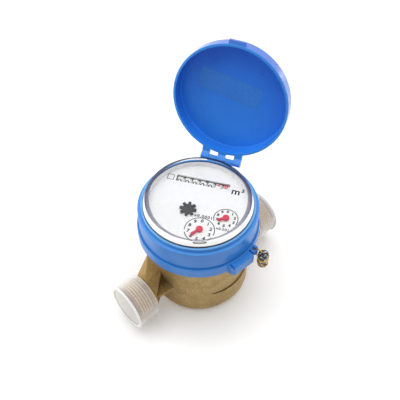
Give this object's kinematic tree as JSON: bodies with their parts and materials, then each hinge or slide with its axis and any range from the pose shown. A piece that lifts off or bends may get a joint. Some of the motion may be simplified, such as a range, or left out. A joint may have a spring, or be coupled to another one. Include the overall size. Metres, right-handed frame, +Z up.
{
  "type": "water meter",
  "caption": "Single-jet water meter with a cast brass body, blue hinged lid, dial under clear glass and protective thread caps.",
  "frame": {"origin": "centre of the flat base, on the register's axis", "axes": "+X along the pipe towards the outlet, +Z up along the register's axis"},
  "size_m": [0.1349, 0.1101, 0.1505],
  "materials": {
    "cast_brass": "sand-cast, dull",
    "turned_brass": "turned",
    "blue_plastic": "moulded, satin gloss",
    "clear_window": "clear, polished",
    "dial_white": "printed white",
    "natural_plastic": "moulded",
    "gear_plastic": "moulded",
    "black_rubber": "matt",
    "white_rubber": "matt",
    "magnet": "sintered, dull",
    "steel": "drawn, bright",
    "pointer_red": "painted",
    "roller_white": "moulded, printed",
    "star_grey": "moulded",
    "cap_plastic": "translucent, soft",
    "seal_metal": "crimped, dark",
    "seal_wire": "drawn wire"
  },
  "bodies": {
    "meter": {"meter_body": "cast_brass", "inlet_spigot": "cast_brass", "outlet_spigot": "cast_brass", "inlet_strainer": "natural_plastic", "pivot_pin": "steel", "pressure_plate": "natural_plastic", "plate_o_ring": "black_rubber", "locking_ring": "turned_brass", "magnetic_shield": "steel", "register_cup": "natural_plastic", "gear_bridge": "natural_plastic", "counter_shaft": "steel", "carry_shaft": "steel", "dial_plate": "dial_white", "glass_gasket": "white_rubber", "register_glass": "clear_window", "shroud": "blue_plastic", "clamp_band": "blue_plastic", "hinge_pin": "steel", "seal_wire": "seal_wire", "crimp_seal": "seal_metal"},
    "impeller_set": {"impeller": "natural_plastic", "drive_magnet": "magnet"},
    "follower_set": {"follower_magnet": "magnet", "follower_arbor": "steel"},
    "star_set": {"star_arbor": "gear_plastic", "leak_star": "star_grey"},
    "first_idler_set": {"first_idler": "gear_plastic"},
    "fine_set": {"fine_pointer_arbor": "gear_plastic", "fine_pointer": "pointer_red"},
    "second_idler_set": {"second_idler": "gear_plastic"},
    "coarse_set": {"coarse_pointer_arbor": "gear_plastic", "coarse_pointer": "pointer_red"},
    "third_idler_set": {"third_idler": "gear_plastic"},
    "drive_set": {"counter_drive": "gear_plastic"},
    "roller_1": {"counter_roller_1": "roller_white"},
    "roller_2": {"counter_roller_2": "roller_white"},
    "roller_3": {"counter_roller_3": "roller_white"},
    "roller_4": {"counter_roller_4": "roller_white"},
    "roller_5": {"counter_roller_5": "roller_white"},
    "roller_6": {"counter_roller_6": "roller_white"},
    "roller_7": {"counter_roller_7": "roller_white"},
    "pinion_1": {"carry_pinion_1": "natural_plastic"},
    "pinion_2": {"carry_pinion_2": "natural_plastic"},
    "pinion_3": {"carry_pinion_3": "natural_plastic"},
    "pinion_4": {"carry_pinion_4": "natural_plastic"},
    "pinion_5": {"carry_pinion_5": "natural_plastic"},
    "pinion_6": {"carry_pinion_6": "natural_plastic"},
    "lid_set": {"lid": "blue_plastic"},
    "inlet_cap_set": {"inlet_cap": "cap_plastic"},
    "outlet_cap_set": {"outlet_cap": "cap_plastic"}
  },
  "joints": [
    {"name": "impeller_spin", "type": "hinge", "parent": "meter", "child": "impeller_set", "pos_m": [0, 0, 0.0205], "axis": [0, 0, 1], "continuous": true},
    {"name": "follower_spin", "type": "hinge", "parent": "meter", "child": "follower_set", "pos_m": [0, 0, 0.039], "axis": [0, 0, 1], "continuous": true},
    {"name": "star_spin", "type": "hinge", "parent": "meter", "child": "star_set", "pos_m": [-0.00785, 0.00035, 0.07], "axis": [0, 0, 1], "continuous": true},
    {"name": "first_idler_spin", "type": "hinge", "parent": "meter", "child": "first_idler_set", "pos_m": [-0.00402, -0.00902, 0.068], "axis": [0, 0, 1], "continuous": true},
    {"name": "fine_spin", "type": "hinge", "parent": "meter", "child": "fine_set", "pos_m": [-0.01259, -0.01545, 0.066], "axis": [0, 0, 1], "continuous": true},
    {"name": "second_idler_spin", "type": "hinge", "parent": "meter", "child": "second_idler_set", "pos_m": [-0.00354, -0.01552, 0.064], "axis": [0, 0, 1], "continuous": true},
    {"name": "coarse_spin", "type": "hinge", "parent": "meter", "child": "coarse_set", "pos_m": [0.00461, -0.0196, 0.062], "axis": [0, 0, 1], "continuous": true},
    {"name": "third_idler_spin", "type": "hinge", "parent": "meter", "child": "third_idler_set", "pos_m": [0.01337, -0.0122, 0.061], "axis": [0, 0, 1], "continuous": true},
    {"name": "drive_spin", "type": "hinge", "parent": "meter", "child": "drive_set", "pos_m": [0.02424, -0.00551, 0.062], "axis": [0, 0, 1], "continuous": true},
    {"name": "roller_1_spin", "type": "hinge", "parent": "meter", "child": "roller_1", "pos_m": [0.02146, -0.00142, 0.0702], "axis": [0.5621, -0.8271, 0], "continuous": true},
    {"name": "roller_2_spin", "type": "hinge", "parent": "meter", "child": "roller_2", "pos_m": [0.01869, 0.00266, 0.0702], "axis": [0.5621, -0.8271, 0], "continuous": true},
    {"name": "roller_3_spin", "type": "hinge", "parent": "meter", "child": "roller_3", "pos_m": [0.01592, 0.00674, 0.0702], "axis": [0.5621, -0.8271, 0], "continuous": true},
    {"name": "roller_4_spin", "type": "hinge", "parent": "meter", "child": "roller_4", "pos_m": [0.01315, 0.01081, 0.0702], "axis": [0.5621, -0.8271, 0], "continuous": true},
    {"name": "roller_5_spin", "type": "hinge", "parent": "meter", "child": "roller_5", "pos_m": [0.01037, 0.01489, 0.0702], "axis": [0.5621, -0.8271, 0], "continuous": true},
    {"name": "roller_6_spin", "type": "hinge", "parent": "meter", "child": "roller_6", "pos_m": [0.0076, 0.01897, 0.0702], "axis": [0.5621, -0.8271, 0], "continuous": true},
    {"name": "roller_7_spin", "type": "hinge", "parent": "meter", "child": "roller_7", "pos_m": [0.00483, 0.02305, 0.0702], "axis": [0.5621, -0.8271, 0], "continuous": true},
    {"name": "pinion_1_spin", "type": "hinge", "parent": "meter", "child": "pinion_1", "pos_m": [0.02296, 0.00319, 0.06563], "axis": [0.5621, -0.8271, 0], "continuous": true},
    {"name": "pinion_2_spin", "type": "hinge", "parent": "meter", "child": "pinion_2", "pos_m": [0.02019, 0.00727, 0.06563], "axis": [0.5621, -0.8271, 0], "continuous": true},
    {"name": "pinion_3_spin", "type": "hinge", "parent": "meter", "child": "pinion_3", "pos_m": [0.01742, 0.01134, 0.06563], "axis": [0.5621, -0.8271, 0], "continuous": true},
    {"name": "pinion_4_spin", "type": "hinge", "parent": "meter", "child": "pinion_4", "pos_m": [0.01465, 0.01542, 0.06563], "axis": [0.5621, -0.8271, 0], "continuous": true},
    {"name": "pinion_5_spin", "type": "hinge", "parent": "meter", "child": "pinion_5", "pos_m": [0.01188, 0.0195, 0.06563], "axis": [0.5621, -0.8271, 0], "continuous": true},
    {"name": "pinion_6_spin", "type": "hinge", "parent": "meter", "child": "pinion_6", "pos_m": [0.00911, 0.02358, 0.06563], "axis": [0.5621, -0.8271, 0], "continuous": true},
    {"name": "lid_hinge", "type": "hinge", "parent": "meter", "child": "lid_set", "pos_m": [0.03575, 0.01925, 0.0744], "axis": [-0.4741, 0.8805, 0], "range_deg": [-106.2, 0]},
    {"name": "inlet_cap_pull", "type": "slide", "parent": "meter", "child": "inlet_cap_set", "axis": [-1, 0, 0], "range_m": [0, 0.03]},
    {"name": "outlet_cap_pull", "type": "slide", "parent": "meter", "child": "outlet_cap_set", "axis": [1, 0, 0], "range_m": [0, 0.03]}
  ],
  "couplings": [
    {"joint": "follower_spin", "follows": "impeller_spin", "ratio": 1},
    {"joint": "star_spin", "follows": "impeller_spin", "ratio": -0.2},
    {"joint": "first_idler_spin", "follows": "impeller_spin", "ratio": -0.125},
    {"joint": "fine_spin", "follows": "impeller_spin", "ratio": 0.025},
    {"joint": "second_idler_spin", "follows": "impeller_spin", "ratio": -0.005},
    {"joint": "coarse_spin", "follows": "impeller_spin", "ratio": 0.0025},
    {"joint": "third_idler_spin", "follows": "impeller_spin", "ratio": -0.00041667},
    {"joint": "drive_spin", "follows": "impeller_spin", "ratio": 0.000625},
    {"joint": "roller_1_spin", "follows": "impeller_spin", "ratio": -0.00025},
    {"joint": "roller_2_spin", "follows": "impeller_spin", "ratio": -0.000025},
    {"joint": "roller_3_spin", "follows": "impeller_spin", "ratio": -0.0000025},
    {"joint": "roller_4_spin", "follows": "impeller_spin", "ratio": -0.00000025},
    {"joint": "roller_5_spin", "follows": "impeller_spin", "ratio": -0.000000025},
    {"joint": "roller_6_spin", "follows": "impeller_spin", "ratio": -0.0000000025},
    {"joint": "roller_7_spin", "follows": "impeller_spin", "ratio": -0.00000000025},
    {"joint": "pinion_1_spin", "follows": "impeller_spin", "ratio": 0.0000625},
    {"joint": "pinion_2_spin", "follows": "impeller_spin", "ratio": 0.00000625},
    {"joint": "pinion_3_spin", "follows": "impeller_spin", "ratio": 0.000000625},
    {"joint": "pinion_4_spin", "follows": "impeller_spin", "ratio": 0.0000000625},
    {"joint": "pinion_5_spin", "follows": "impeller_spin", "ratio": 0.00000000625},
    {"joint": "pinion_6_spin", "follows": "impeller_spin", "ratio": 0.000000000625}
  ]
}
